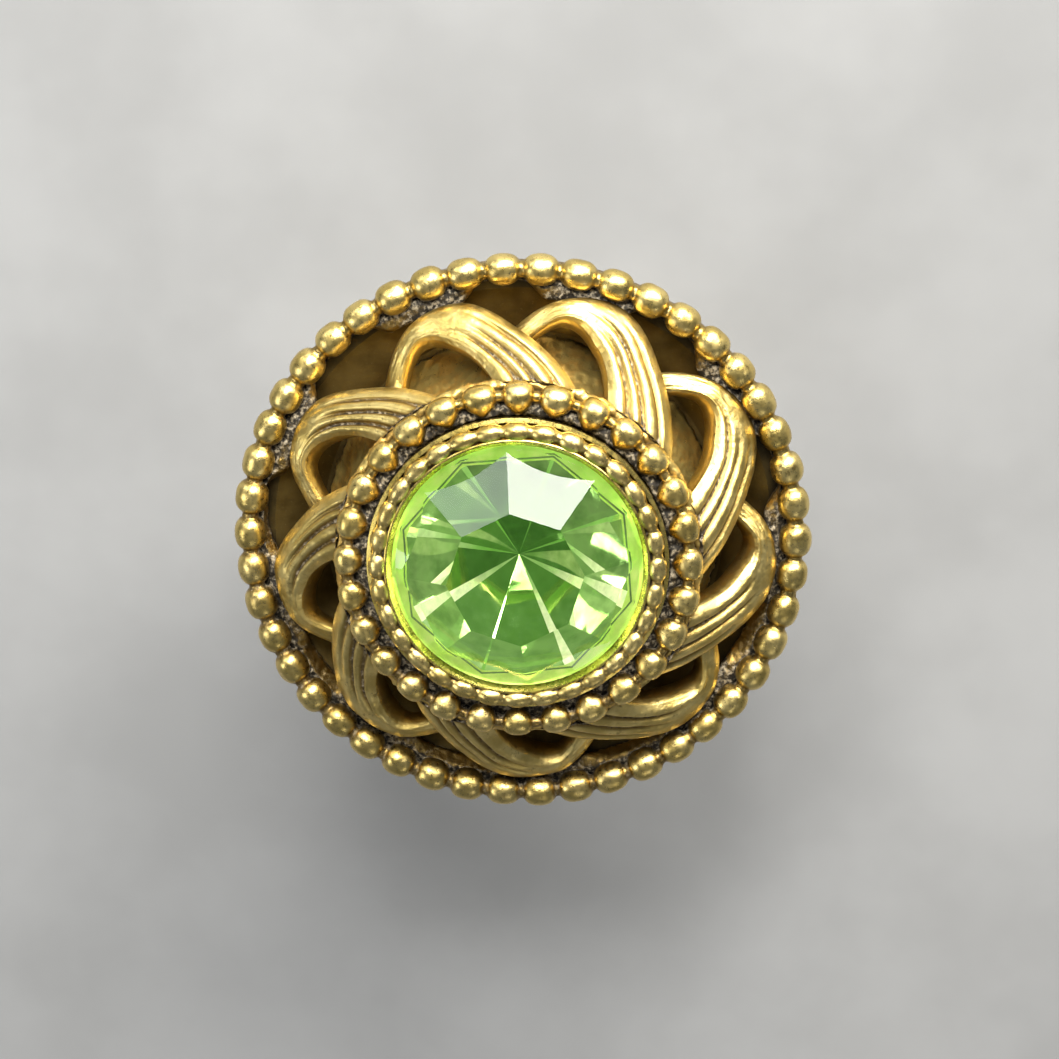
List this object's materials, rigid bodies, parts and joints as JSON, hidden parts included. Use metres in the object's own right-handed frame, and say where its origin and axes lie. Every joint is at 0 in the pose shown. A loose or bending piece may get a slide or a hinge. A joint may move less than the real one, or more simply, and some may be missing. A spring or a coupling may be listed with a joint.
{
  "type": "cocktail ring",
  "caption": "Antiqued gold-tone cocktail ring with a faceted yellow-green glass stone in a beaded cup, on a swirling openwork dome with a beaded rim.",
  "frame": {"origin": "centre of the finger hole", "axes": "+Z towards the stone's table, +Y along the finger towards the fingertip, +X across the finger"},
  "size_m": [0.028, 0.028, 0.0291],
  "materials": {
    "band_gold": "smooth plated band with fine wear scratches",
    "solder": "plated solder fillet, slightly rough",
    "plate_bronze": "dark satin antiqued gold",
    "dark_patina": "blackened granular recess with worn gold edges",
    "bead_gold": "worn antiqued gold beads, dark between them",
    "ribbon_gold": "brushed antiqued gold with dark grooves",
    "cup_gold": "bright worn gold lip",
    "cement": "dull set cement",
    "foil": "silvered foil",
    "glass": "polished facets"
  },
  "bodies": {
    "root": {"shank": "band_gold", "shank_solder": "solder", "back_plate": "plate_bronze", "rim_band": "dark_patina", "rim_bead_wire": "bead_gold", "ribbon_1": "ribbon_gold", "ribbon_2": "ribbon_gold", "ribbon_3": "ribbon_gold", "ribbon_4": "ribbon_gold", "ribbon_5": "ribbon_gold", "ribbon_6": "ribbon_gold", "ribbon_7": "ribbon_gold", "ribbon_8": "ribbon_gold", "ribbon_9": "ribbon_gold", "collar_wall": "dark_patina", "collar_bead_wire": "bead_gold", "stone_cup": "cup_gold", "bezel_bead_wire": "bead_gold", "cement_bed": "cement", "foil_backing": "foil", "stone": "glass", "centre_rivet": "plate_bronze"}
  },
  "joints": []
}
